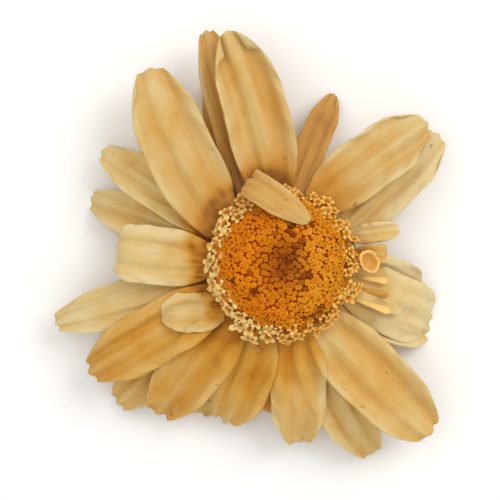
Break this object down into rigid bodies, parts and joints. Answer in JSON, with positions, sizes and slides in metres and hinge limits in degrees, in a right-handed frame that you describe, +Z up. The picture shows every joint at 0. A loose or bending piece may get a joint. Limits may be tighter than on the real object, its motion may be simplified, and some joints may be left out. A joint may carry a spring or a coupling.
{
  "type": "dried chamomile flower head",
  "caption": "Dried daisy-like herb flower head lying face up: a domed disc of tiny florets ringed by drooping papery petals, on a cushion of overlapping bracts.",
  "frame": {"origin": "centre of the flat spot under the involucre, where the stem has snapped off and the head rests", "axes": "+Z up through the disc; +Y towards the longest petals and +X towards the palest petals, which droop steeply to the table"},
  "size_m": [0.0187, 0.0206, 0.0058],
  "materials": {
    "bracts": "matt, dry, faintly ribbed",
    "petals": "papery, matt, thin enough to glow a little",
    "open_florets": "matt, papery",
    "closed_florets": "matt, granular, dusted with pollen"
  },
  "bodies": {
    "root": {"involucre_and_stem": "bracts", "ray_florets": "petals", "rim_florets": "open_florets", "disc_florets": "closed_florets"}
  },
  "joints": []
}
